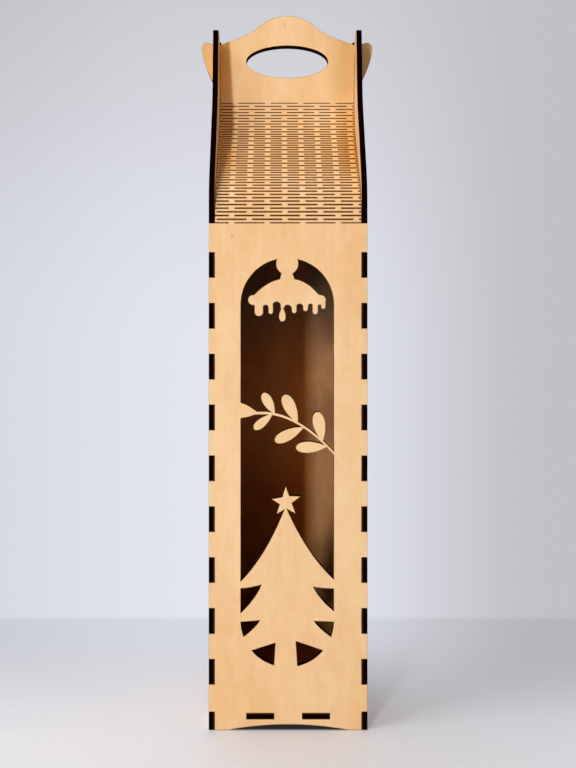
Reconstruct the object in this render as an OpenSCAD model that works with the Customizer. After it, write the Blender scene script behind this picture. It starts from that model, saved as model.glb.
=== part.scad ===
// Free-standing bottle box of laser-cut birch plywood on a square plan.
// The front and the back are each one long sheet: a stiff wall, a slit stretch that
// bends like cloth, and a handle plate. Both handle plates meet over the middle and
// hook down into the forked tops of the two side panels.
// Width runs along X, the front wall faces -Y, and the feet stand on z = 0.

/* [Sheet] */
// Thickness of the plywood
ply = 3.6; // [3:0.1:4.5]
// Width of a slit as the laser leaves it
kerf = 0.5; // [0.2:0.05:0.7]
// Play of a tab in its slot, on each side
joint_clear = 0.15; // [0.05:0.01:0.25]

/* [Box] */
// Width over the side panels
box_w = 100; // [92:1:120]
// Depth over the front and back walls
box_d = 100; // [92:1:120]
// Height of the stiff part of the front and back walls
wall_h = 319.2; // [305:0.1:360]

/* [Finger joints] */
// Number of tabs along each upright edge of a side panel
tab_count = 10; // [6:1:12]
// Height of one tab
tab_h = 15.7; // [10:0.1:18]
// Height of the lowest tab, which stands on the ground
foot_tab_h = 11.3; // [8:0.1:16]
// Plain height above the lowest tab
foot_gap = 17.5; // [10:0.1:24]
// Plain height between the top tab and the top of the wall
top_land = 18.3; // [10:0.1:30]

/* [Base] */
// Height of the underside of the base panel
base_z = 6.9; // [5:0.1:12]
// Width of a tab of the base panel
base_tab_w = 17.2; // [10:0.1:22]
// Distance from the middle of a wall to the middle of a base tab
base_tab_x = 17.6; // [12:0.1:28]
// Width of the arch cut under each wall
arch_w = 76; // [50:1:80]
// Height of the arch cut under each wall
arch_h = 3.5; // [1:0.1:4]

/* [Window] */
// Width of the arched window
win_w = 58.7; // [56:0.1:62]
// Height of the middle of its lower arc
win_low_z = 68.9; // [62:0.1:76]
// Height of the middle of its upper arc
win_high_z = 268; // [264:0.1:274]
// Sideways place of the window's middle line
win_x = -0.55; // [-3:0.05:3]

/* [Ornament] */
// How far branches and stems run on into the frame
frame_bite = 6.5; // [4:0.1:8]
// Sideways place of the fir tree's trunk, from the middle of the window
trunk_x = -1.0; // [-3:0.1:3]
// Width of the trunk where it stands on the frame
trunk_w = 14.8; // [8:0.1:16]
// Height of the fir tree's tip above the middle of the window's lower arc
fir_h = 72; // [68:0.1:74]
// Height of the middle of the star above the tip
star_rise = 3.4; // [1.5:0.1:4.5]
// Height at which the twig's stem leaves the bud
twig_z = 199.5; // [196:0.1:206]
// Width of the twig's stem at the bud
stem_w = 1.9; // [1.5:0.1:3]
// Radius of the berry under the upper arc
berry_r = 7.05; // [6:0.05:9]
// Depth of the berry's middle under the top of the upper arc
berry_drop = 3.55; // [2:0.05:5]

/* [Bending stretch] */
// Radius of the bend, on the middle of the sheet
bend_r = 42.5; // [38:0.5:50]
// Steepest lean of the sheet from upright
bend_lean = 40.4; // [36:0.1:44]
// Number of rows of slits
slit_rows = 45; // [31:2:51]
// Sideways step from one slit to the next in a row
slit_step = 22.44; // [18:0.01:26]
// Wood left between two slits in a row
slit_bridge = 4.1; // [3:0.1:6]
// Sideways place of a bridge in the odd rows
bridge_x = 9.2; // [6:0.1:12]
// Gap between the bending stretch and each side panel
bend_gap = 0.4; // [0.2:0.1:1.5]

/* [Handle] */
// Gap between the two handle plates
handle_gap = 0.2; // [0.1:0.05:0.4]
// Height of the handle plate in the middle
handle_h = 60; // [56:0.5:70]
// Height of the straight neck at the foot of the plate
handle_neck_h = 4.5; // [3:0.5:8]
// Radius of the crown
crown_r = 28.6; // [24:0.1:32]
// Steepest slope of the crown's flank
crown_slope = 42; // [38:0.5:46]
// Radius of the hollow beside the crown
hollow_r = 37; // [30:0.5:42]
// Slope of the shoulder outside the hollow
shoulder_slope = 20.4; // [16:0.1:24]
// Reach of an ear past the outer face of a side panel
ear_out = 8.8; // [7:0.1:12]
// Radius of the ear's round top
ear_r = 4; // [3:0.1:5]
// Depth of the ear's top under the crown
ear_drop = 18.5; // [16:0.1:20]
// Height of an ear from its tip to its top
ear_h = 27.9; // [24:0.1:32]
// Width of the hand hole
hole_w = 56.4; // [46:0.1:60]
// Height of the hand hole
hole_h = 22.3; // [18:0.1:24]
// Depth of the hole's middle under the crown
hole_drop = 31.7; // [30:0.1:34]
// Depth of the hook's bridge under the crown
hook_drop = 27; // [25:0.1:30]

/* [Side panels] */
// Straight height of the side above the walls before it draws in
neck_start = 12.8; // [6:0.1:16]
// Radius of the two bends of the neck
neck_r = 52; // [46:0.5:56]
// Steepest lean of the neck from upright
neck_lean = 24; // [22:0.1:26]
// Lean of a prong's outer edge
prong_lean = 6.8; // [3:0.1:7]
// Distance from the face of the box to the root of a prong
prong_in = 28; // [24:0.1:30]
// Depth of the prongs' tips under the crown
prong_drop = 14.2; // [13:0.1:18]
// Width of the slant that leads the plates in between the prongs
lead_in = 6; // [3:0.1:7]

/* [Hidden] */
birch = [0.93, 0.78, 0.58];
birch_shade = [0.88, 0.71, 0.50];
slack = 1; // how far a cutter runs past the wood
$fn = 72;

in_w = box_w - 2 * ply;
tab_step = (wall_h - top_land - foot_tab_h - foot_gap - tab_h) / (tab_count - 2);
win_r = win_w / 2;

// The ornament's outlines are drawn for a window of this width, and grow with it
drawn_w = 58.7;
ornament = win_w / drawn_w;
edge = (win_r + frame_bite) / ornament;

// The bend: a straight kerf, an arc, a slanted straight, an arc, a straight kerf
bend_in = box_d / 2 - ply - handle_gap / 2;
arc_len = bend_r * bend_lean * PI / 180;
slant_len = (bend_in - 2 * bend_r * (1 - cos(bend_lean))) / sin(bend_lean);
bend_len = 2 * kerf + 2 * arc_len + slant_len;
row_step = (bend_len - kerf) / (slit_rows - 1);
bend_w = in_w - 2 * bend_gap;
handle_z = wall_h + bend_at(bend_len)[1];
crown_z = handle_z + handle_h;

// Leaves of the twig as [share of the stem's run, tip, width]
twig_leaves = [[0.225, [-15.2, 12.8], 6.5], [0.2, [-21, -10], 5.8], [0.488, [-2, 11.7], 7.9],
               [0.56, [-7.8, -17.7], 7.3], [0.765, [18.6, 1], 7.9], [0.82, [5.4, -21.6], 7.3]];
// Drips of icing as [sideways place, depth of the tip, width]
drips = [[-17.9, 36.6, 5.4], [-10.4, 35.3, 2.9], [-3.1, 38, 1.7], [4.4, 34.8, 3.1],
         [11.5, 33.5, 3.1], [17.6, 35.5, 3.4], [22.7, 32.1, 2.9]];
// Hollows between the roots of the drips as [sideways place, depth of the top, width]
hollows = [[-13.6, 29.5, 3.3], [-6.7, 27.5, 5], [0.3, 29.5, 5], [7.8, 28.8, 4.4],
           [14.7, 28.8, 3], [20.2, 29.5, 1.7]];

// Place and lean of the sheet's middle at length s along the bend: [inward, up, lean]
function bend_at(s) =
    let (a = s - kerf, b = a - arc_len, c = b - slant_len,
         turn = 180 / PI / bend_r,
         in_1 = bend_r * (1 - cos(bend_lean)), up_1 = bend_r * sin(bend_lean),
         in_2 = in_1 + slant_len * sin(bend_lean), up_2 = up_1 + slant_len * cos(bend_lean))
    a <= 0 ? [0, s, 0] :
    b <= 0 ? [bend_r * (1 - cos(a * turn)), kerf + bend_r * sin(a * turn), a * turn] :
    c <= 0 ? [in_1 + b * sin(bend_lean), kerf + up_1 + b * cos(bend_lean), bend_lean] :
    let (lean = max(0, bend_lean - c * turn))
    [in_2 + bend_r * (cos(lean) - cos(bend_lean)),
     kerf + up_2 + bend_r * (sin(bend_lean) - sin(lean)) + max(0, c - arc_len), lean];

// Length along the bend at which row i of the slits lies
function row_at(i) = kerf / 2 + i * row_step;

// Sideways places of the slits' middles in a row of the given parity
function slit_centres(parity) =
    let (first = bridge_x + slit_step / 2 * (1 - parity),
         half = (slit_step - slit_bridge) / 2,
         reach = ceil(bend_w / slit_step / 2) + 1)
    [for (k = [-reach : reach])
        if (abs(first + k * slit_step) < bend_w / 2 + half) first + k * slit_step];

// Heights of the foot and the top of tab i
function tab_low(i) = i == 0 ? 0 : foot_tab_h + foot_gap + (i - 1) * tab_step;
function tab_high(i) = i == 0 ? foot_tab_h : tab_low(i) + tab_h;

// Point at a share t of a quadratic curve from a to c, drawn towards b
function curve_at(a, b, c, t) = (1 - t) * (1 - t) * a + 2 * t * (1 - t) * b + t * t * c;
function curve(a, b, c, n = 12) = [for (i = [0 : n]) curve_at(a, b, c, i / n)];

// Leaf that is pointed at its base and round at its tip
function leaf(base, tip, width) =
    let (run = tip - base, across = [-run[1], run[0]] / norm(run), fullest = 0.803)
    [for (a = [0 : 12 : 348])
        base + run * (1 - cos(a)) / 2
        + across * width / 2 * sin(a) * pow(sin(a / 2), 0.8) / fullest];

// Ribbon along a row of points, with its own width at each end
function ribbon(points, w_start, w_end) =
    let (last = len(points) - 1,
         side = [for (i = [0 : last])
             let (run = points[min(i + 1, last)] - points[max(i - 1, 0)],
                  w = w_start + (w_end - w_start) * i / last)
             [-run[1], run[0]] / norm(run) * w / 2])
    concat([for (i = [0 : last]) points[i] + side[i]],
           [for (i = [last : -1 : 0]) points[i] - side[i]]);

function mirrored(points) = [for (i = [len(points) - 1 : -1 : 0]) [-points[i][0], points[i][1]]];

// Middle of the twig's stem at a share t of its run
function stem_at(t) = curve_at([-19.9, 0], [6.6, 3.2], [edge, -32.6], t);

// Fir tree on its trunk, with heights above the middle of the window's lower arc
module fir_tree() {
    trunk = trunk_x / ornament;
    half_w = trunk_w / 2 / ornament;
    top = [trunk, fir_h / ornament];
    left = concat(
        curve(top, [-15.4, 34.9], [-edge, 18.8]),
        curve([-29, 20.3], [-23, 20.6], [-16.3, 22.6], 6),
        curve([-16.3, 22.6], [-20.5, 11.5], [-edge, -1], 8),
        [[-drawn_w / 2, -0.8]],
        curve([-17.2, 0.1], [-21, -6.5], [-edge, -16], 6),
        [[-edge, -23], [-22.4, -18.8], [trunk - half_w + 1, -14]],
        [[trunk - half_w, -28.5], [trunk - half_w, -edge]]);
    right = concat(
        [[trunk + half_w, -edge], [trunk + half_w, -28.5]],
        [[trunk + half_w - 1, -12.9], [23, -19], [edge, -23]],
        curve([edge, -16], [21, -6.5], [16.9, -0.3], 6),
        [[drawn_w / 2, -0.8]],
        curve([edge, 1], [21, 11.5], [16.4, 21.3], 8),
        curve([16.4, 21.3], [23, 20.2], [29.4, 20.1], 6),
        curve([edge, 20.4], [13.9, 37.2], top));
    scale(ornament) polygon(concat(left, right));
}

// Hand-drawn star that stands on the fir tree's top
module star() {
    scale(ornament)
        polygon([[0, 9.4], [2.3, 3.1], [9.5, 2.9], [3.9, -1.3], [6.3, -8], [0.3, -4.8],
                 [-5.8, -8.3], [-3.8, -2.2], [-9, 1.2], [-2.1, 2.4]]);
}

// Leafy twig that crosses the window from a bud in its left edge
module twig() {
    steps = 16;
    stem = [for (i = [0 : steps]) stem_at(i / steps)];
    thick = stem_w / ornament;
    scale(ornament) {
        polygon(ribbon(stem, thick, thick * 0.7));
        polygon(leaf(stem_at(0.03), [-drawn_w / 2 - 13, 3.6], 10.8));
        for (l = twig_leaves)
            polygon(leaf(stem_at(l[0]), l[1], l[2]));
    }
}

// Berry on its stalk over a cap of dripping icing, with heights below the window's top
module berry_and_cap() {
    hem = -31.5;
    lobe_r = 3.15;
    lobes = [[-21.6, -26.4], [21.2, -26.4]];
    drip_root = -27;
    drop = [[-3.1, -31], [-3.1, -40.1]];
    translate([0, -berry_drop]) circle(r = berry_r);
    scale(ornament) {
        polygon([[-3.7, -8], [3.5, -8], [3.5, -9.8], [4.7, -13.4], [-4.7, -13.4], [-3.7, -9.8]]);
        difference() {
            union() {
                polygon(concat(
                    [lobes[0] + [0, lobe_r - 0.05]],
                    curve([-21, -23.3], [-12.9, -15], [-4.7, -13.3]),
                    curve([4.7, -13.3], [12.8, -14.5], [19.5, -22.8]),
                    [lobes[1] + [0, lobe_r - 0.05], [19.5, hem], [-21.5, hem]]));
                for (c = lobes)
                    translate(c) circle(r = lobe_r);
            }
            translate([-23.4, hem - lobe_r]) square([4.6, 5]);
            for (h = hollows) {
                translate([h[0], -h[1] - h[2] / 2]) circle(d = h[2]);
                translate([h[0] - h[2] / 2, -h[1] - h[2] / 2 - lobe_r * 2]) square([h[2], lobe_r * 2]);
            }
        }
        for (d = drips) {
            translate([d[0], -d[1] + d[2] / 2]) circle(d = d[2]);
            translate([d[0] - d[2] / 2, -d[1] + d[2] / 2]) square([d[2], drip_root + d[1] - d[2] / 2]);
        }
        polygon(leaf(drop[0], drop[1], 4.3));
    }
}

// Arched opening, less the ornament that is left standing in it
module window() {
    translate([win_x, 0]) difference() {
        union() {
            translate([0, win_low_z]) circle(r = win_r);
            translate([-win_r, win_low_z]) square([win_w, win_high_z - win_low_z]);
            translate([0, win_high_z]) circle(r = win_r);
        }
        translate([0, win_low_z]) fir_tree();
        translate([trunk_x, win_low_z + fir_h + star_rise]) star();
        translate([0, twig_z]) twig();
        translate([0, win_high_z + win_r]) berry_and_cap();
    }
}

// Disc that cuts the arch under a wall
module foot_arch() {
    r = (arch_w * arch_w / 4 + arch_h * arch_h) / (2 * arch_h);
    translate([0, arch_h - r]) circle(r = r, $fn = 360);
}

module base_slots() {
    for (side = [-1, 1])
        translate([side * base_tab_x - base_tab_w / 2 - joint_clear, base_z - joint_clear])
            square([base_tab_w + 2 * joint_clear, ply + 2 * joint_clear]);
}

// Flat outline of a front or back wall: width across, height up
module wall_outline() {
    notch_w = ply + joint_clear;
    difference() {
        translate([-box_w / 2, 0]) square([box_w, wall_h]);
        foot_arch();
        for (side = [-1, 1], i = [0 : tab_count - 1]) {
            low = i == 0 ? -slack : tab_low(i) - joint_clear;
            translate([side * (box_w / 2 + (slack - notch_w) / 2), (low + tab_high(i) + joint_clear) / 2])
                square([notch_w + slack, tab_high(i) + joint_clear - low], center = true);
        }
        base_slots();
    }
}

// Flat outline of a handle plate, with its foot at z = 0
module handle_outline() {
    slot_in = box_w / 2 - ply - joint_clear;
    slot_out = box_w / 2 + joint_clear;
    slot_top = handle_h - hook_drop;
    ear_x = box_w / 2 + ear_out;
    ear_tip_z = handle_h - ear_drop - ear_h;
    ear_c = [ear_x - ear_r, handle_h - ear_drop - ear_r];
    crown_end = [crown_r * sin(crown_slope), handle_h - crown_r * (1 - cos(crown_slope))];
    hollow_c = crown_end + hollow_r * [sin(crown_slope), cos(crown_slope)];
    hollow_end = hollow_c - hollow_r * [sin(shoulder_slope), cos(shoulder_slope)];
    valley_x = box_w / 2 - ply;
    valley = [valley_x, hollow_end[1] - (valley_x - hollow_end[0]) * tan(shoulder_slope)];
    half = concat(
        [for (i = [0 : 8]) let (a = crown_slope * i / 8)
            [crown_r * sin(a), handle_h - crown_r * (1 - cos(a))]],
        [for (i = [1 : 5]) let (a = crown_slope + (shoulder_slope - crown_slope) * i / 5)
            hollow_c - hollow_r * [sin(a), cos(a)]],
        curve(valley, valley + [2.6, -0.8], ear_c + ear_r * [-sin(20), cos(20)], 4),
        [for (a = [15 : -15 : -90]) ear_c + ear_r * [-sin(a), cos(a)]],
        curve([ear_x, ear_c[1] - 1], [ear_x - 1.3, ear_tip_z + 12], [slot_out + 0.9, ear_tip_z + 0.4], 8),
        [[slot_out, ear_tip_z], [slot_out, slot_top], [slot_in, slot_top],
         [slot_in, handle_neck_h], [bend_w / 2, handle_neck_h - 1], [bend_w / 2, 0]]);
    difference() {
        polygon(concat(half, mirrored(half)));
        translate([0, handle_h - hole_drop])
            polygon([for (a = [0 : 5 : 355]) [hole_w / 2 * cos(a), hole_h / 2 * sin(a)]]);
    }
}

// Flat outline of a side panel: depth across from the middle, height up
module side_outline() {
    face = box_d / 2;
    tip_z = crown_z - prong_drop;
    notch = ply + handle_gap / 2 + joint_clear;
    notch_z = crown_z - hook_drop - joint_clear;
    low = [face, wall_h + neck_start];
    low_end = low + neck_r * [cos(neck_lean) - 1, sin(neck_lean)];
    root_fall = neck_r * (cos(prong_lean) - cos(neck_lean));
    slant = (low_end[0] - (face - prong_in) - root_fall) / tan(neck_lean);
    root = [face - prong_in, low_end[1] + slant + neck_r * (sin(neck_lean) - sin(prong_lean))];
    root_c = root + neck_r * [cos(prong_lean), sin(prong_lean)];
    half = concat(
        [[face - ply, 0], [face - ply, wall_h], [face, wall_h]],
        [for (i = [0 : 6]) let (a = neck_lean * i / 6) low + neck_r * [cos(a) - 1, sin(a)]],
        [for (i = [0 : 5]) let (a = neck_lean + (prong_lean - neck_lean) * i / 5)
            root_c - neck_r * [cos(a), sin(a)]],
        [[root[0] - (tip_z - root[1]) * tan(prong_lean), tip_z],
         [notch + lead_in, tip_z], [notch, tip_z - lead_in], [notch, notch_z]]);
    difference() {
        union() {
            polygon(concat(half, mirrored(half)));
            for (side = [-1, 1], i = [0 : tab_count - 1])
                translate([side > 0 ? face - ply - slack : -face, tab_low(i)])
                    square([ply + slack, tab_high(i) - tab_low(i)]);
        }
        foot_arch();
        base_slots();
    }
}

// Stands a flat outline up as a sheet whose outer face is the box's front face
module front_sheet() {
    translate([0, ply - box_d / 2, 0]) rotate([90, 0, 0]) linear_extrude(ply) children();
}

module front_panel() {
    color(birch) front_sheet() difference() {
        wall_outline();
        window();
    }
}

module back_panel() {
    color(birch) rotate(180) front_sheet() wall_outline();
}

// Bent stretch of sheet over the front wall, cut through by staggered rows of slits
module flex_hinge() {
    mid_y = ply / 2 - box_d / 2;
    lengths = concat([0], [for (i = [0 : slit_rows - 1]) row_at(i)], [bend_len]);
    bends = [for (s = lengths) bend_at(s)];
    outer = [for (p = bends)
        [mid_y + p[0] - ply / 2 * cos(p[2]), wall_h + p[1] + ply / 2 * sin(p[2])]];
    inner = [for (i = [len(bends) - 1 : -1 : 0]) let (p = bends[i])
        [mid_y + p[0] + ply / 2 * cos(p[2]), wall_h + p[1] - ply / 2 * sin(p[2])]];
    difference() {
        translate([-bend_w / 2, 0, 0]) rotate([90, 0, 90])
            linear_extrude(bend_w) polygon(concat(outer, inner));
        for (i = [0 : slit_rows - 1]) {
            p = bend_at(row_at(i));
            below = i == 0 ? slack : 0;
            above = i == slit_rows - 1 ? slack : 0;
            for (x = slit_centres(i % 2))
                translate([x, mid_y + p[0], wall_h + p[1]]) rotate([-p[2], 0, 0])
                    translate([(slit_bridge - slit_step) / 2, -ply / 2 - slack, -kerf / 2 - below])
                        cube([slit_step - slit_bridge, ply + 2 * slack, kerf + below + above]);
        }
    }
}

module front_flex_hinge() {
    color(birch_shade) flex_hinge();
}

module back_flex_hinge() {
    color(birch_shade) rotate(180) flex_hinge();
}

module handle_plate() {
    translate([0, -handle_gap / 2, handle_z]) rotate([90, 0, 0]) linear_extrude(ply) handle_outline();
}

module front_handle() {
    color(birch) handle_plate();
}

module back_handle() {
    color(birch) rotate(180) handle_plate();
}

module left_side() {
    color(birch_shade) translate([-box_w / 2, 0, 0]) rotate([90, 0, 90])
        linear_extrude(ply) side_outline();
}

module right_side() {
    color(birch_shade) translate([box_w / 2 - ply, 0, 0]) rotate([90, 0, 90])
        linear_extrude(ply) side_outline();
}

module base_panel() {
    color(birch_shade) translate([0, 0, base_z]) linear_extrude(ply) {
        square([in_w - 2 * joint_clear, box_d - 2 * ply - 2 * joint_clear], center = true);
        for (side = [-1, 1]) {
            translate([side * base_tab_x, 0]) square([base_tab_w, box_d], center = true);
            translate([0, side * base_tab_x]) square([box_w, base_tab_w], center = true);
        }
    }
}

front_panel();
front_flex_hinge();
front_handle();
back_panel();
back_flex_hinge();
back_handle();
left_side();
right_side();
base_panel();
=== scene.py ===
import math
import bpy
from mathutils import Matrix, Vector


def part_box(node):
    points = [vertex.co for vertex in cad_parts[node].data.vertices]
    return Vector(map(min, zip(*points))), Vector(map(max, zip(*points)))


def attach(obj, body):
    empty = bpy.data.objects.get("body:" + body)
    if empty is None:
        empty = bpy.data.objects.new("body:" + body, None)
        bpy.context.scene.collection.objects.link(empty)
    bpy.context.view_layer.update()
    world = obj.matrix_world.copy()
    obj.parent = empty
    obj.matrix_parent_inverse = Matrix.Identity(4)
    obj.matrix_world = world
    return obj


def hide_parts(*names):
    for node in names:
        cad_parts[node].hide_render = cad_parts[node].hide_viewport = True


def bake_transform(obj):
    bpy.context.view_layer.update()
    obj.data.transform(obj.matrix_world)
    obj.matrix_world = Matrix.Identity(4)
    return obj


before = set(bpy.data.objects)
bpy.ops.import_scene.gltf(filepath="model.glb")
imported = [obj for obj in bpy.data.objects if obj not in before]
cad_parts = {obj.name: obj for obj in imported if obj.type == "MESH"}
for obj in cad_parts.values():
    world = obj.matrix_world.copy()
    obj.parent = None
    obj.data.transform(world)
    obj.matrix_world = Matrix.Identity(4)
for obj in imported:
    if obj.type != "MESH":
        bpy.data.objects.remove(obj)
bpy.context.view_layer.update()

bpy.ops.object.select_all(action="DESELECT")

# Camera: it stands straight in front of the window wall, a little over half the box's height up,
# and its lens is shifted down so that the upright edges stay upright, as in the photograph.
FRAME_LONG_SIDE_PX = 768
FOCAL_PX = 768
SENSOR_MM = 36
CAMERA_DISTANCE = 0.484
CAMERA_HEIGHT = 0.2836
CAMERA_SIDE = -0.007
SHIFT_PX = (11.0, -104.1)

window_face_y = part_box("front_panel")[0].y
bpy.ops.object.camera_add(
    location=(CAMERA_SIDE, window_face_y - CAMERA_DISTANCE, CAMERA_HEIGHT),
    rotation=(math.pi / 2, 0, 0))
camera = bpy.context.object
camera.name = "camera"
camera.data.sensor_width = SENSOR_MM
camera.data.lens = SENSOR_MM * FOCAL_PX / FRAME_LONG_SIDE_PX
camera.data.shift_x = SHIFT_PX[0] / FRAME_LONG_SIDE_PX
camera.data.shift_y = SHIFT_PX[1] / FRAME_LONG_SIDE_PX
camera.data.clip_start = 0.01
camera.data.clip_end = 20
bpy.context.scene.camera = camera
bpy.context.scene.view_settings.view_transform = "Standard"


# Floor: a pale matt table top that keeps the box's shadow and has painted shade under the box. Near
# and behind the box the camera sees it more and more as a glow in the backdrop's tone, painted light
# that lifts the box's shadow there; beyond a soft line behind the box it shows only the backdrop's
# tone, and the upright backdrop stands far behind.
class Shade:
    """One value of a material: a node's socket, with arithmetic that adds Math nodes."""

    def __init__(self, tree, socket=None):
        self.tree = tree
        self.socket = socket

    def node(self, kind, settings, inputs, output=0):
        """Adds a node: its settings are set first, then the values or links of its sockets."""
        made = self.tree.nodes.new("ShaderNode" + kind)
        for name, value in settings.items():
            setattr(made, name, value)
        for name, value in inputs.items():
            if isinstance(value, Shade):
                self.tree.links.new(value.socket, made.inputs[name])
            else:
                made.inputs[name].default_value = value
        return Shade(self.tree, made.outputs[output])

    def math(self, operation, first, second=0.0):
        return self.node("Math", {"operation": operation}, {0: first, 1: second})

    def __add__(self, other):
        return self.math("ADD", self, other)

    def __radd__(self, other):
        return self.math("ADD", other, self)

    def __sub__(self, other):
        return self.math("SUBTRACT", self, other)

    def __rsub__(self, other):
        return self.math("SUBTRACT", other, self)

    def __mul__(self, other):
        return self.math("MULTIPLY", self, other)

    def __rmul__(self, other):
        return self.math("MULTIPLY", other, self)

    def size(self):
        return self.math("ABSOLUTE", self)

    def rise(self, low, high):
        """Turns smoothly from 0 at low to 1 at high, or the other way if low is above high."""
        start, end, first, last = (low, high, 0.0, 1.0) if low < high else (high, low, 1.0, 0.0)
        return self.node("MapRange", {"interpolation_type": "SMOOTHSTEP"},
                         {"Value": self, "From Min": start, "From Max": end,
                          "To Min": first, "To Max": last})

    def mix(self, low, high):
        """The colour low where this mask is 0 and high where it is 1."""
        return self.node("Mix", {"data_type": "RGBA"}, {0: self, 6: low, 7: high}, output=2)

    def stretched(self, factors):
        """This vector or colour times factors: one for each of its parts, or one for them all."""
        return self.node("VectorMath", {"operation": "MULTIPLY"}, {0: self, 1: factors})

    def noise(self, scale=1.0, detail=2.0, roughness=0.5, distortion=0.0):
        return self.node("TexNoise", {}, {"Vector": self, "Scale": scale, "Detail": detail,
                                          "Roughness": roughness, "Distortion": distortion}, "Fac")


def srgb(red, green, blue):
    """A colour as a picture shows it, from 0 to 255, as the light values that materials take."""
    parts = [c / 255 for c in (red, green, blue)]
    return [c / 12.92 if c <= 0.04045 else ((c + 0.055) / 1.055) ** 2.4 for c in parts] + [1.0]


def new_material(name):
    """A material with its shader's inputs and a first value to build on."""
    material = bpy.data.materials.new(name)
    material.use_nodes = True
    return material, material.node_tree.nodes["Principled BSDF"].inputs, Shade(material.node_tree)


def feed(material, socket, value):
    """Lets the value drive one socket of the material's or the world's nodes."""
    material.node_tree.links.new(value.socket, socket)


def seen_straight(start):
    """1 for what the camera sees directly, in gloss or through glass, and 0 for light on its way."""
    rays = [start.node("LightPath", {}, {}, kind)
            for kind in ("Is Camera Ray", "Is Glossy Ray", "Is Transmission Ray")]
    return rays[0] + rays[1] + rays[2]


FLOOR_SIZE = 12.0
FLOOR_LINE_Y = 0.110
FLOOR_LINE_SOFTNESS = 0.007
FLOOR_FRONT = srgb(238, 238, 244)
FLOOR_BACK = srgb(214, 214, 221)
FLOOR_TONES_Y = (-0.08, 0.09)
# The floor's glow near and behind the box is painted light that lifts the box's shadow; beyond the line it
# is the backdrop's tone.
FLOOR_GLOW = 0.88
FLOOR_GLOW_Y = (-0.08, 0.10)
FLOOR_BRUSHING = (25, 420, 1)
# Painted shade on the floor under the box: where it begins and is full, and how much it darkens.
UNDER_BOX_X = (0.050, 0.044)
UNDER_BOX_Y = (0.0515, 0.0485)
UNDER_BOX_DIMMING = 0.85
BACKDROP_LOW = srgb(227, 229, 238)
BACKDROP_HIGH = srgb(203, 202, 208)
BACKDROP_SIDE = srgb(193, 192, 198)
LEFT_DIMMING = 0.12
HIGH_SLOPES = (-0.1, 0.5)
RIGHT_SLOPES = (0.03, 0.36)
LEFT_SLOPES = (-0.10, -0.45)
BACKDROP_Y = 2.4
BACKDROP_HEIGHT = 4.0


def backdrop_tone(start, place):
    """Palest behind the box, greyer towards the top and both sides, most of all on the right.

    The slopes are metres up or sideways for each metre away from the photograph's viewpoint."""
    across, depth, height = (place.node("SeparateXYZ", {}, {0: place}, axis) for axis in "XYZ")
    distance = depth - camera.location.y
    rightwards = start.math("DIVIDE", across - CAMERA_SIDE, distance)
    upwards = start.math("DIVIDE", height - CAMERA_HEIGHT, distance)
    tone = upwards.rise(*HIGH_SLOPES).mix(BACKDROP_LOW, BACKDROP_HIGH)
    tone = rightwards.rise(*RIGHT_SLOPES).mix(tone, BACKDROP_SIDE)
    return tone.stretched(1 - LEFT_DIMMING * rightwards.rise(*LEFT_SLOPES))


floor_material, floor_shader, start = new_material("table_top")
place = start.node("TexCoord", {}, {}, "Object")
across, depth = (start.node("SeparateXYZ", {}, {0: place}, axis) for axis in "XY")
beyond = depth.rise(FLOOR_LINE_Y - FLOOR_LINE_SOFTNESS, FLOOR_LINE_Y + FLOOR_LINE_SOFTNESS)
# Painted shade: covered darkens the floor under the box and keeps the glow off it.
covered = across.size().rise(*UNDER_BOX_X) * depth.size().rise(*UNDER_BOX_Y)
# Painted light: near and behind the box the camera sees more and more of the glow, which lifts the box's
# shadow.
nearing = depth.rise(*FLOOR_GLOW_Y) * (1 - covered)
brushed = 0.97 + place.stretched(FLOOR_BRUSHING).noise(detail=3) * 0.05
floor_tone = depth.rise(*FLOOR_TONES_Y).mix(FLOOR_FRONT, FLOOR_BACK)
floor_tone = floor_tone.stretched(brushed * (1 - UNDER_BOX_DIMMING * covered))
feed(floor_material, floor_shader["Base Color"], floor_tone)
floor_shader["Roughness"].default_value = 0.45
floor_shader["Specular IOR Level"].default_value = 0.3
glow_tone = backdrop_tone(start, place).stretched(FLOOR_GLOW + beyond * (1 - FLOOR_GLOW))
glow = start.node("Emission", {}, {"Color": glow_tone, "Strength": 1.0})
matt = Shade(start.tree, floor_shader["Base Color"].node.outputs[0])
floor_look = start.node("MixShader", {}, {
    0: start.math("MAXIMUM", beyond, nearing) * seen_straight(start), 1: matt, 2: glow})
feed(floor_material, start.tree.nodes["Material Output"].inputs["Surface"], floor_look)
bpy.ops.mesh.primitive_plane_add(size=FLOOR_SIZE)
table_top = bpy.context.object
table_top.name = "table_top"
table_top.data.materials.append(floor_material)

backdrop_material, backdrop_shader, start = new_material("backdrop")
place = start.node("TexCoord", {}, {}, "Object")
backdrop_shader["Base Color"].default_value = BACKDROP_LOW
backdrop_shader["Roughness"].default_value = 0.9
glow = start.node("Emission", {}, {"Color": backdrop_tone(start, place), "Strength": 1.0})
backdrop_look = start.node("MixShader", {}, {
    0: seen_straight(start), 1: Shade(start.tree, backdrop_shader["Base Color"].node.outputs[0]),
    2: glow})
feed(backdrop_material, start.tree.nodes["Material Output"].inputs["Surface"], backdrop_look)
bpy.ops.mesh.primitive_plane_add(size=1, rotation=(math.pi / 2, 0, 0),
                                 location=(0, BACKDROP_Y, BACKDROP_HEIGHT / 2))
backdrop = bpy.context.object
backdrop.scale = (FLOOR_SIZE, BACKDROP_HEIGHT, 1)
bpy.ops.object.transform_apply(location=True, rotation=True, scale=True)
backdrop.name = "backdrop"
backdrop.data.materials.append(backdrop_material)


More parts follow.
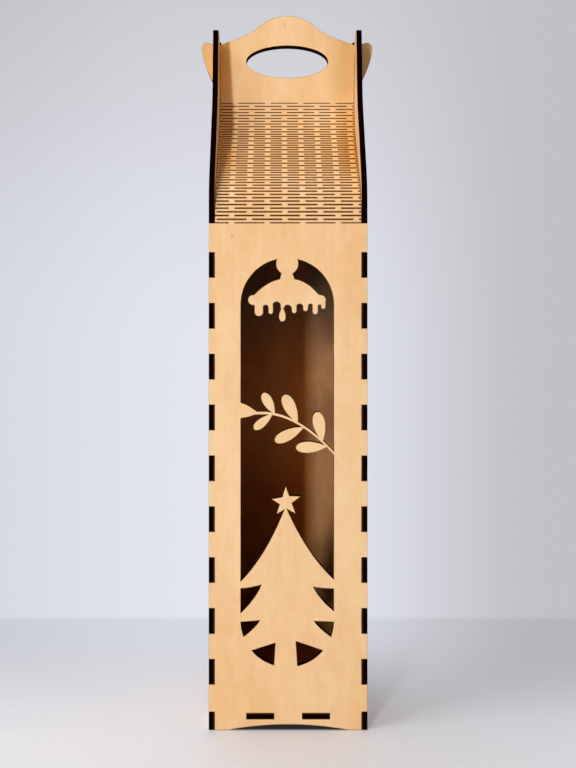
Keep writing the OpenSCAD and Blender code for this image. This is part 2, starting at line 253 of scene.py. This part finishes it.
# Lamps: a tall key in front on the left lights the window wall and throws each fork's shadow to the
# right. A small one higher up and further to the left draws the shadow on the table. A large one
# hangs high behind the box, and a faint light comes from above all round.
LAMP_AIM = (0, 0, 0.25)
KEY = {"distance": 3.0, "azimuth": -26.7, "elevation": 10, "size": (0.3, 0.9), "power": 50}
SIDE = {"distance": 1.4, "azimuth": -65, "elevation": 50, "size": (0.4, 0.4), "power": 6.1}
TOP_LAMP = {"location": (-0.3, 0.45, 2.6), "size": (2.0, 2.0), "power": 27}
ROOM_LIGHT = 0.25
ROOM_WHITE = srgb(252, 248, 240)


def add_lamp(name, location, aim, size, power):
    """A soft lamp of a width and a height, pointed at aim."""
    away = [a - b for a, b in zip(location, aim)]
    tilt = math.atan2(math.hypot(away[0], away[1]), away[2])
    turn = math.atan2(away[0], -away[1])
    bpy.ops.object.light_add(type="AREA", location=location, rotation=(tilt, 0, turn))
    lamp = bpy.context.object
    lamp.name = name
    lamp.data.shape = "RECTANGLE"
    lamp.data.size, lamp.data.size_y = size
    lamp.data.energy = power
    lamp.visible_camera = False


for name, lamp in (("key_lamp", KEY), ("side_lamp", SIDE)):
    turn, tilt = math.radians(lamp["azimuth"]), math.radians(lamp["elevation"])
    level = lamp["distance"] * math.cos(tilt)
    location = (LAMP_AIM[0] + level * math.sin(turn), LAMP_AIM[1] - level * math.cos(turn),
                LAMP_AIM[2] + lamp["distance"] * math.sin(tilt))
    add_lamp(name, location, LAMP_AIM, lamp["size"], lamp["power"])
add_lamp("overhead_lamp", TOP_LAMP["location"], (0, 0, 0), TOP_LAMP["size"], TOP_LAMP["power"])

world = bpy.data.worlds.new("room")
world.use_nodes = True
start = Shade(world.node_tree)
upwards = start.node("SeparateXYZ", {}, {0: start.node("TexCoord", {}, {}, "Generated")}, "Z")
fill = start.node("Background", {}, {
    "Color": ROOM_WHITE, "Strength": ROOM_LIGHT * upwards.rise(0.0, 0.8)})
pale = start.node("Background", {}, {"Color": BACKDROP_LOW, "Strength": 1.0})
room = start.node("MixShader", {}, {0: seen_straight(start), 1: fill, 2: pale})
feed(world, world.node_tree.nodes["World Output"].inputs["Surface"], room)
bpy.context.scene.world = world


# Front sheet, wall: one long piece of birch plywood starts here as the stiff wall with the window.
# Its faces are sanded birch with upright grain, and every cut edge is charred by the laser.
LIGHT_BIRCH = srgb(246, 208, 160)
WARM_BIRCH = srgb(236, 186, 128)
# The next two colours paint light and shade: shade at the handle plate's sides, then warm bounce light in
# the left neck's shadow.
PLATE_SHADE_BIRCH = srgb(206, 160, 96)
BOUNCE_AMBER = srgb(246, 172, 64)
PORE_BIRCH = srgb(205, 148, 92)
# The next four colours paint the shade inside the box.
INNER_SHADE_LIGHT = srgb(190, 139, 90)
INNER_SHADE_WARM = srgb(170, 116, 66)
DARKER_SHADE_LIGHT = srgb(186, 108, 12)
DARKER_SHADE_WARM = srgb(162, 86, 6)
SCORCHED = srgb(118, 66, 8)
CHAR = srgb(9, 2, 0)
TOASTED = srgb(66, 34, 15)
# Each kind of grain repeats so many times a metre, across the sheet and along it.
CLOUDS = (34, 12, 1)
BLOTCHES = (110, 55, 1)
STREAKS = (420, 14, 1)
FIBRES = (2400, 130, 1)
PORES = (1900, 260, 1)
RIDGES = (1500, 1500, 1)
SMOKE_TRACES = (90, 90, 1)
KNOTS = [(-0.0352, 0.3112), (-0.0021, 0.4740)]
KNOT_RADIUS = 0.0011
KNOT_FLATNESS = 0.45
KNOT_DARKNESS = 0.55
PORE_DARKNESS = 0.35
# Where each painted tone of light or shade begins and where it is full, in metres: two up the
# sheet, one up from the wall's top, six sideways and two upwards on the box. Their strengths follow.
TOP_SHADE_SPAN = (0.25, 0.31)
FOOT_SHADE_SPAN = (0.14, 0.06)
PLATE_TONES = (0.085, 0.115)
PLATE_SHADE_RIGHT = (0.024, 0.042)
PLATE_SHADE_LEFT_EAR = (-0.048, -0.051)
NECK_BOUNCE_STRIP = (-0.036, -0.043)
NECK_BOUNCE_END = (-0.0512, -0.0495)
DARKER_SHADE_BRIGHTENS = (-0.022, 0.008)
DARKER_SHADE_LEFT = (0.023, 0.011)
INNER_SHADE_DARKENS = (0.285, 0.20)
INNER_SHADE_BELOW = (0.36, 0.30)
TOP_SHADE_GAIN = 0.25
FOOT_SHADE_GAIN = 0.12
PLATE_SHADE_STRENGTH = 0.85
NECK_BOUNCE_STRENGTH = 0.7
SCORCH_STRENGTH = 0.85
DARKER_SHADE_GAIN = 0.5
INNER_SHADE_DARKEST = 0.35
VENEERS = 3
INNER_VENEER = (0.68, 0.9)
RIM = 0.00025

wall_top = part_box("front_panel")[1].z
plate_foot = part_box("front_handle")[0].z


def knots(start, across, up):
    """The two small knots, one in the wall and one in the handle plate's crown."""
    spots = 0.0
    for knot_across, knot_up in KNOTS:
        away = start.node("CombineXYZ", {}, {0: across - knot_across, 1: (up - knot_up) * KNOT_FLATNESS})
        far = start.node("VectorMath", {"operation": "LENGTH"}, {0: away}, "Value")
        spots = spots + far.rise(KNOT_RADIUS, KNOT_RADIUS / 4) * KNOT_DARKNESS
    return spots


def painted_inner_shade(warmth, sideways, height):
    """Painted shade inside the box: a brown that is more saturated from the left to just past the
    middle, growing brighter as it nears the middle, and darker towards the top."""
    darker_shade = warmth.mix(DARKER_SHADE_LIGHT, DARKER_SHADE_WARM).stretched(1 + DARKER_SHADE_GAIN * sideways.rise(*DARKER_SHADE_BRIGHTENS))
    lighter_shade = warmth.mix(INNER_SHADE_LIGHT, INNER_SHADE_WARM)
    shaded_tone = sideways.rise(*DARKER_SHADE_LEFT).mix(lighter_shade, darker_shade)
    return shaded_tone.stretched(INNER_SHADE_DARKEST + (1 - INNER_SHADE_DARKEST) * height.rise(*INNER_SHADE_DARKENS))


def birch_face(name, slit_marks=None):
    """Sanded birch: broad warm clouds, fine upright fibres, short dark pores and two small knots.

    It is warmer from near the wall's top upwards and towards its foot, which is painted shade of the
    lamps' falloff. Above the handle plate's foot it has painted shade at both sides and painted warm
    bounce light in the left neck's shadow, each cut has a scorched border, and inside the box the faces
    carry painted shade. A piece that bends passes slit_marks(colour, across, up, sideways)."""
    material, shader, start = new_material(name)
    along = start.node("UVMap", {"uv_map": "sheet"}, {})
    across, up = (start.node("SeparateXYZ", {}, {0: along}, axis) for axis in "XY")
    place = start.node("TexCoord", {}, {}, "Object")
    sideways, height = (start.node("SeparateXYZ", {}, {0: place}, axis) for axis in "XZ")

    clouds = along.stretched(CLOUDS).noise(detail=3, distortion=0.6)
    blotches = along.stretched(BLOTCHES).noise(detail=3, roughness=0.55, distortion=0.9)
    streaks = along.stretched(STREAKS).noise(detail=4, roughness=0.6)
    fibres = along.stretched(FIBRES).noise(detail=3, roughness=0.6)
    pores = along.stretched(PORES).noise(detail=1).rise(0.66, 0.74)
    warmth = clouds * 0.9 + blotches * 0.75 + streaks * 0.35 + fibres * 0.4 - 0.76
    # Painted shade of the lamps' falloff: warmer from near the wall's top upwards, and towards its foot.
    warmth = warmth + up.rise(*TOP_SHADE_SPAN) * TOP_SHADE_GAIN + up.rise(*FOOT_SHADE_SPAN) * FOOT_SHADE_GAIN
    warmth = warmth.rise(0.0, 1.0)
    spots = pores * clouds.rise(0.4, 0.6) * PORE_DARKNESS + knots(start, across, up)
    colour = spots.mix(warmth.mix(LIGHT_BIRCH, WARM_BIRCH), PORE_BIRCH)

    # Painted shade at the sides above the handle plate's foot: towards the right neck and over the right
    # ear, and on the left ear.
    on_plate = up.rise(*(wall_top + above for above in PLATE_TONES))
    deep = (sideways.rise(*PLATE_SHADE_RIGHT) + sideways.rise(*PLATE_SHADE_LEFT_EAR)) * on_plate
    colour = (deep * PLATE_SHADE_STRENGTH).mix(colour, PLATE_SHADE_BIRCH)
    # Painted warm bounce light in the left neck's shadow on the plate.
    neck_shade_tint = sideways.rise(*NECK_BOUNCE_STRIP) * sideways.rise(*NECK_BOUNCE_END) * on_plate
    colour = (neck_shade_tint * NECK_BOUNCE_STRENGTH).mix(colour, BOUNCE_AMBER)
    rim = start.node("Attribute", {"attribute_name": "rim"}, {}, "Fac").rise(0.0, 0.5)
    colour = (rim * SCORCH_STRENGTH).mix(colour, SCORCHED)
    # Painted shade inside the box: below the wall's top the inner faces take its brown.
    inner = start.node("Attribute", {"attribute_name": "through"}, {}, "Fac").rise(0.6, 0.95)
    inner_shade_mask = inner * height.rise(*INNER_SHADE_BELOW)
    colour = inner_shade_mask.mix(colour, painted_inner_shade(warmth, sideways, height))
    if slit_marks:
        colour = slit_marks(colour, across, up, sideways)

    feed(material, shader["Base Color"], colour)
    feed(material, shader["Roughness"], 0.5 + fibres * 0.12)
    shader["Specular IOR Level"].default_value = 0.35
    relief = start.node("Bump", {}, {"Strength": 0.12, "Distance": 0.0001, "Height": fibres - pores * 0.6})
    feed(material, shader["Normal"], relief)
    return material


def burnt_edge(name, brown_share, brown_tint):
    """The laser's cut: char with fine ridges, browner in the middle of each veneer.

    Below the walls' top the veneer next to the inner face is browner too."""
    material, shader, start = new_material(name)
    along = start.node("UVMap", {"uv_map": "sheet"}, {})
    through = start.node("Attribute", {"attribute_name": "through"}, {}, "Fac")
    layer = start.math("PINGPONG", through * VENEERS, 0.5) * 2
    ridges = along.stretched(RIDGES).noise(detail=3, roughness=0.65)
    smoke = along.stretched(SMOKE_TRACES).noise(detail=2)
    height = start.node("SeparateXYZ", {}, {0: start.node("TexCoord", {}, {}, "Object")}, "Z")
    brown = layer.rise(0.15, 0.9) * ridges.rise(0.35, 0.75) * brown_share + smoke.rise(0.5, 0.8) * 0.05
    brown = brown + through.rise(*INNER_VENEER) * height.rise(wall_top, wall_top - 0.002) * 0.9
    feed(material, shader["Base Color"], brown.mix(CHAR, brown_tint))
    feed(material, shader["Roughness"], 0.62 + ridges * 0.25)
    shader["Specular IOR Level"].default_value = 0.0
    relief = start.node("Bump", {}, {"Strength": 0.35, "Distance": 0.0002, "Height": ridges})
    feed(material, shader["Normal"], relief)
    return material


panel_birch = birch_face("birch_panel")
burnt_panel = burnt_edge("burnt_edge", brown_share=0.08, brown_tint=TOASTED)

# The material slots of a board, and the least share of a face's normal that points straight out or
# in. A sheet's faces lean by up to 40 degrees in its bending stretch.
FACE, CUT = 0, 1
BOARD_FACE_LEAN = 0.9
SHEET_FACE_LEAN = 0.72
MERGE_DISTANCE = 0.000002
SEAM_HEIGHT = 0.00001
FRONT, BACK = -1, 1
FRONT_OFFSET = 0.0


def inset_rims(mesh):
    """Draws a narrow border along every edge of the faces, in their own plane, for the scorch."""
    for part in (mesh.vertices, mesh.edges):
        for item in part:
            item.select = False
    for polygon in mesh.polygons:
        polygon.select = polygon.material_index == FACE
    bpy.context.tool_settings.mesh_select_mode = (False, False, True)
    bpy.ops.object.mode_set(mode="EDIT")
    bpy.ops.mesh.inset(thickness=RIM, use_even_offset=True)
    bpy.ops.object.mode_set(mode="OBJECT")
    bpy.context.tool_settings.mesh_select_mode = (True, False, False)


def plywood_piece(node, name, face, facing, spread, burnt=burnt_panel):
    """A copy of a CAD board with its faces and cut edges told apart.

    facing(normal) is -1 on the outer face, 1 on the inner face and 0 on a cut edge.
    spread(point) is the point's place on the flat board, across and along, in metres.
    The attribute through is 1 on the inner face, and rim is 1 where a cut meets a face, apart from
    the seams between a sheet's three pieces."""
    bpy.ops.object.select_all(action="DESELECT")
    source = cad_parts[node]
    source.select_set(True)
    bpy.context.view_layer.objects.active = source
    bpy.ops.object.duplicate()
    piece = bpy.context.object
    piece.name = name
    piece.parent = None
    for key in list(piece.keys()):
        del piece[key]
    bpy.ops.object.mode_set(mode="EDIT")
    bpy.ops.mesh.select_all(action="SELECT")
    bpy.ops.mesh.remove_doubles(threshold=MERGE_DISTANCE)
    bpy.ops.object.mode_set(mode="OBJECT")
    mesh = piece.data
    mesh.name = name
    mesh.materials.clear()
    mesh.materials.append(face)
    mesh.materials.append(burnt)
    while mesh.uv_layers:
        mesh.uv_layers.remove(mesh.uv_layers[0])
    for polygon in mesh.polygons:
        polygon.material_index = FACE if facing(polygon.normal) else CUT
    if burnt is burnt_panel:
        inset_rims(mesh)
    sheet = mesh.uv_layers.new(name="sheet")
    through = mesh.attributes.new("through", "FLOAT", "POINT")
    rim = mesh.attributes.new("rim", "FLOAT", "POINT")
    for polygon in mesh.polygons:
        inner = facing(polygon.normal) > 0
        charred = polygon.material_index == CUT and burnt is burnt_panel
        for corner in polygon.loop_indices:
            vertex = mesh.loops[corner].vertex_index
            point = mesh.vertices[vertex].co
            sheet.data[corner].uv = spread(point)
            if inner:
                through.data[vertex].value = 1.0
            at_seam = min(abs(point.z - wall_top), abs(point.z - plate_foot)) < SEAM_HEIGHT
            if charred and not at_seam:
                rim.data[vertex].value = 1.0
    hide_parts(node)
    return piece


def upright_sheet(node, name, face, outward, offset, spread, burnt=burnt_panel):
    """One piece of the front sheet, which faces -Y, or of the back sheet, which faces +Y."""
    def facing(normal):
        lean = normal.y * outward
        return -1 if lean > SHEET_FACE_LEAN else 1 if lean < -SHEET_FACE_LEAN else 0
    return plywood_piece(node, name, face, facing,
                         lambda point: (offset - point.x * outward, spread(point)), burnt)


front_wall = upright_sheet("front_panel", "front_wall", panel_birch,
                           FRONT, FRONT_OFFSET, lambda point: point.z)
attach(front_wall, "root")


# Front sheet, bending stretch: 45 staggered rows of slits let the same sheet lean inwards and
# stand up again over the middle of the box.
SHEET_THICKNESS = 0.0036
KERF = 0.0005
BEND_RADIUS = 0.0425
BEND_LEAN = math.radians(40.4)
SLIT_ROWS = 45
SLIT_STEP = 0.02244
SLIT_LENGTH = 0.01834
SLIT_ACROSS = 0.02042
SCORCH = 0.0006
# The next colour, for the slits' cut faces, is partly scorch and partly painted bounce light.
SLIT_BROWN = srgb(158, 94, 20)
SLIT_RIM = srgb(128, 66, 0)
AMBER = srgb(196, 132, 22)
# Where the rims and the amber veil begin and fade, in metres above the wall's top, and two places
# sideways. The rims' fade near the top is painted light, and the veil beside the necks is painted
# shade. The veil's strengths are for all of it, between the rows and beside the necks.
RIMS_FADE = (0.07, 0.09)
RIMS_FADE_BY = 0.55
VEIL_STARTS = (0.015, 0.05)
VEIL_ENDS_FROM = 0.06
NECK_SHADE_ENDS_FROM = 0.08
NECK_SHADE_RUNS_ON = 0.02
NECK_SHADE_SPAN = (0.030, 0.044)
PALER_LEFT = (-0.030, -0.040)
VEIL_STRENGTH = 0.06
ROW_VEIL_STRENGTH = 0.6
NECK_SHADE_STRENGTH = 0.55
HINGE_SMOOTHING = math.radians(20)

plate_middle = (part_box("front_handle")[0].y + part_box("front_handle")[1].y) / 2
wall_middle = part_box("front_panel")[0].y + SHEET_THICKNESS / 2
lower_centre = (wall_middle + BEND_RADIUS, wall_top + KERF)
upper_centre = (plate_middle - BEND_RADIUS, plate_foot - KERF)
slant_start = (lower_centre[0] - BEND_RADIUS * math.cos(BEND_LEAN),
               lower_centre[1] + BEND_RADIUS * math.sin(BEND_LEAN))
slant_end = (upper_centre[0] + BEND_RADIUS * math.cos(BEND_LEAN),
             upper_centre[1] - BEND_RADIUS * math.sin(BEND_LEAN))
slant_length = math.dist(slant_start, slant_end)
bend_length = 2 * KERF + 2 * BEND_RADIUS * BEND_LEAN + slant_length


def along_bend(depth, height):
    """Length along the sheet from the wall's top to a point on the bending stretch, which runs
    straight up for a kerf, round the lower arc, up the slope, round the upper arc and up again."""
    low = math.atan2(height - lower_centre[1], lower_centre[0] - depth)
    high = math.atan2(upper_centre[1] - height, depth - upper_centre[0])
    if low <= 0:
        return height - wall_top
    if low <= BEND_LEAN:
        return KERF + BEND_RADIUS * low
    if high <= 0:
        return bend_length - (plate_foot - height)
    if high <= BEND_LEAN:
        return bend_length - KERF - BEND_RADIUS * high
    inwards = (depth - slant_start[0]) * math.sin(BEND_LEAN)
    upwards = (height - slant_start[1]) * math.cos(BEND_LEAN)
    return KERF + BEND_RADIUS * BEND_LEAN + inwards + upwards


def scorched_slits(colour, across, up, sideways):
    """Adds the slits' marks: a brown rim round each, fainter near the top as painted light, an amber
    veil over the rows' middle, and painted shade as an amber veil beside the side panels' necks.
    Every second row is shifted by half a step."""
    pitch = (bend_length - KERF) / (SLIT_ROWS - 1)
    above = up - (wall_top + KERF / 2)
    from_row = above.math("PINGPONG", above, pitch / 2)
    odd_row = above.math("GREATER_THAN", above.math("PINGPONG", above, pitch), pitch / 2)
    from_even = across.math("PINGPONG", across - SLIT_ACROSS, SLIT_STEP / 2)
    from_middle = from_even + odd_row * (SLIT_STEP / 2 - 2 * from_even)
    beside = from_middle.rise(SLIT_LENGTH / 2 + SCORCH, SLIT_LENGTH / 2)
    rims = from_row.rise(KERF / 2 + SCORCH, KERF / 2) * beside
    # Painted light: near the top the rims fade where the slits' lit insides show.
    rims = rims * (1 - RIMS_FADE_BY * above.rise(*RIMS_FADE))
    between = from_row.rise(KERF / 2 + 2 * SCORCH, KERF / 2) * beside
    between = between * ROW_VEIL_STRENGTH + VEIL_STRENGTH
    between = between * above.rise(bend_length, VEIL_ENDS_FROM)
    # Painted shade beside the necks: an amber veil, paler on the left.
    neck_shade_tint = sideways.size().rise(*NECK_SHADE_SPAN) * NECK_SHADE_STRENGTH
    neck_shade_tint = neck_shade_tint * above.rise(bend_length + NECK_SHADE_RUNS_ON, NECK_SHADE_ENDS_FROM)
    veil = (between + neck_shade_tint) * above.rise(*VEIL_STARTS)
    amber = sideways.rise(*PALER_LEFT).mix(AMBER, BOUNCE_AMBER)
    return rims.mix(veil.mix(colour, amber), SLIT_RIM)


hinge_birch = birch_face("birch_hinge", scorched_slits)
# The slits' cut faces are much browner than the panels' edges: partly scorch, partly painted light of
# light bouncing inside the narrow slits.
burnt_slit = burnt_edge("burnt_slit", brown_share=0.75, brown_tint=SLIT_BROWN)


def bending_stretch(node, name, outward, offset):
    """The slit part of one sheet, shaded smooth across its slits."""
    piece = upright_sheet(node, name, hinge_birch, outward, offset,
                          lambda point: wall_top + along_bend(-point.y * outward, point.z), burnt_slit)
    bpy.ops.object.shade_smooth_by_angle(angle=HINGE_SMOOTHING)
    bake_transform(piece)


bending_stretch("front_flex_hinge", "front_bend", FRONT, FRONT_OFFSET)


# Front sheet, handle plate: the sheet's upper end, with the hand hole and the two ears that hook
# over the side panels. Its grain runs on from the bending stretch.
def handle_plate(node, name, body, outward, offset):
    piece = upright_sheet(node, name, panel_birch, outward, offset,
                          lambda point: wall_top + bend_length + point.z - plate_foot)
    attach(piece, body)


handle_plate("front_handle", "front_grip", "front_handle", FRONT, FRONT_OFFSET)


# Back sheet: the same length of plywood, turned round, with a plain wall. It is cut from another
# part of the board, so its grain differs, but its slits stand in the same places.
BACK_OFFSET = 31 * SLIT_STEP

back_wall = upright_sheet("back_panel", "back_wall", panel_birch,
                          BACK, BACK_OFFSET, lambda point: point.z)
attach(back_wall, "root")
bending_stretch("back_flex_hinge", "back_bend", BACK, BACK_OFFSET)
handle_plate("back_handle", "back_grip", "back_handle", BACK, BACK_OFFSET)


# Side panels: two equal birch plywood boards, whose tabs are glued into the front and back walls and
# show there as dark end grain. Their necks draw in above the walls and end in forks.
SIDE_OFFSETS = {"left": 1.3, "right": 1.9}
side_birch = birch_face("birch_side")

for hand, outward in (("left", -1), ("right", 1)):
    def facing(normal, outward=outward):
        lean = normal.x * outward
        return -1 if lean > BOARD_FACE_LEAN else 1 if lean < -BOARD_FACE_LEAN else 0
    side = plywood_piece(hand + "_side", hand + "_wall", side_birch, facing,
                         lambda point, hand=hand: (SIDE_OFFSETS[hand] + point.y, point.z))
    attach(side, "root")


# Base panel: a square board of the same plywood, which carries the bottle just above the table. Its
# two tabs on each edge pass through slots in all four walls and are glued there.
BASE_OFFSET = 2.5

base_board = plywood_piece(
    "base_panel", "base_board", side_birch,
    lambda normal: 1 if normal.z > BOARD_FACE_LEAN else -1 if normal.z < -BOARD_FACE_LEAN else 0,
    lambda point: (BASE_OFFSET + point.x, point.y))
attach(base_board, "root")
